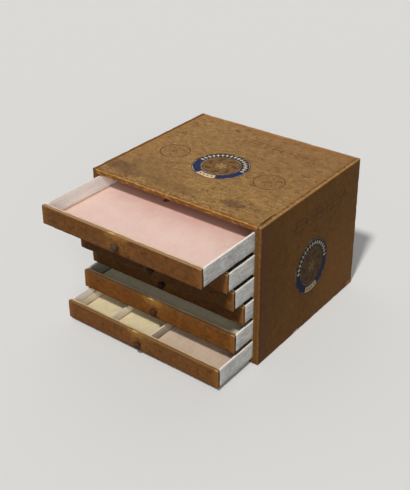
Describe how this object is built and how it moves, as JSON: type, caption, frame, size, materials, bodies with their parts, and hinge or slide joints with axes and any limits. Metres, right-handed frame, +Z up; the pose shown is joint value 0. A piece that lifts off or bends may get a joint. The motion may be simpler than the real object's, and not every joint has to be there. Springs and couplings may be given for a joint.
{
  "type": "sewing thread drawer cabinet",
  "caption": "Small counter chest for thread reels: a paper-covered wooden case with a stack of shallow full-width drawers that slide out on side runners.",
  "frame": {"origin": "centre of the case's flat underside", "axes": "+X to the right seen from the front, +Y from the drawer fronts to the back, +Z up"},
  "size_m": [0.3403, 0.44, 0.2503],
  "materials": {
    "wood_print_paper": "printed mock-wood covering paper, dull varnish, worn",
    "white_paper": "white lining paper, matte, soiled",
    "edge_paper": "cream paper turned over the edge, matte",
    "pasteboard": "grey-brown pasteboard, matte",
    "pink_liner": "pale pink lining paper, matte",
    "sage_liner": "grey-green lining paper, matte",
    "cream_liner": "cream lining paper, matte",
    "grey_card": "grey-beige card, matte",
    "bare_wood": "planed softwood, unfinished",
    "dark_turned_wood": "dark stained and polished",
    "label_paper": "printed gummed paper, slight sheen"
  },
  "bodies": {
    "case": {"case_top": "wood_print_paper", "case_bottom": "wood_print_paper", "case_left_side": "wood_print_paper", "case_right_side": "wood_print_paper", "case_back": "wood_print_paper", "left_runners": "bare_wood", "right_runners": "bare_wood", "label_top": "label_paper", "label_side": "white_paper"},
    "drawer_1": {"drawer_1_facing": "wood_print_paper", "drawer_1_front": "edge_paper", "drawer_1_left_side": "white_paper", "drawer_1_right_side": "white_paper", "drawer_1_back": "white_paper", "drawer_1_bottom": "pasteboard", "drawer_1_liner": "pink_liner", "drawer_1_knob": "dark_turned_wood"},
    "drawer_2": {"drawer_2_facing": "wood_print_paper", "drawer_2_front": "edge_paper", "drawer_2_left_side": "white_paper", "drawer_2_right_side": "white_paper", "drawer_2_back": "white_paper", "drawer_2_bottom": "pasteboard", "drawer_2_liner": "sage_liner", "drawer_2_knob": "dark_turned_wood"},
    "drawer_3": {"drawer_3_facing": "wood_print_paper", "drawer_3_front": "edge_paper", "drawer_3_left_side": "white_paper", "drawer_3_right_side": "white_paper", "drawer_3_back": "white_paper", "drawer_3_bottom": "pasteboard", "drawer_3_liner": "sage_liner", "drawer_3_knob": "dark_turned_wood"},
    "drawer_4": {"drawer_4_facing": "wood_print_paper", "drawer_4_front": "edge_paper", "drawer_4_left_side": "white_paper", "drawer_4_right_side": "white_paper", "drawer_4_back": "white_paper", "drawer_4_bottom": "pasteboard", "drawer_4_liner": "sage_liner", "drawer_4_knob": "dark_turned_wood"},
    "drawer_5": {"drawer_5_facing": "wood_print_paper", "drawer_5_front": "edge_paper", "drawer_5_left_side": "white_paper", "drawer_5_right_side": "white_paper", "drawer_5_back": "white_paper", "drawer_5_bottom": "pasteboard", "drawer_5_liner": "sage_liner", "drawer_5_knob": "dark_turned_wood"},
    "drawer_6": {"drawer_6_facing": "wood_print_paper", "drawer_6_front": "edge_paper", "drawer_6_left_side": "white_paper", "drawer_6_right_side": "white_paper", "drawer_6_back": "white_paper", "drawer_6_bottom": "pasteboard", "drawer_6_liner": "cream_liner", "drawer_6_knob": "dark_turned_wood", "drawer_6_left_partition": "grey_card", "drawer_6_middle_partition": "grey_card", "drawer_6_right_partition": "grey_card"}
  },
  "joints": [
    {"name": "drawer_1_slide", "type": "slide", "parent": "case", "child": "drawer_1", "axis": [0, -1, 0], "range_m": [-0.1275, 0.0925]},
    {"name": "drawer_2_slide", "type": "slide", "parent": "case", "child": "drawer_2", "axis": [0, -1, 0], "range_m": [-0.067, 0.153]},
    {"name": "drawer_3_slide", "type": "slide", "parent": "case", "child": "drawer_3", "axis": [0, -1, 0], "range_m": [-0.0505, 0.1695]},
    {"name": "drawer_4_slide", "type": "slide", "parent": "case", "child": "drawer_4", "axis": [0, -1, 0], "range_m": [-0.0245, 0.1955]},
    {"name": "drawer_5_slide", "type": "slide", "parent": "case", "child": "drawer_5", "axis": [0, -1, 0], "range_m": [-0.0475, 0.1725]},
    {"name": "drawer_6_slide", "type": "slide", "parent": "case", "child": "drawer_6", "axis": [0, -1, 0], "range_m": [-0.089, 0.131]}
  ]
}
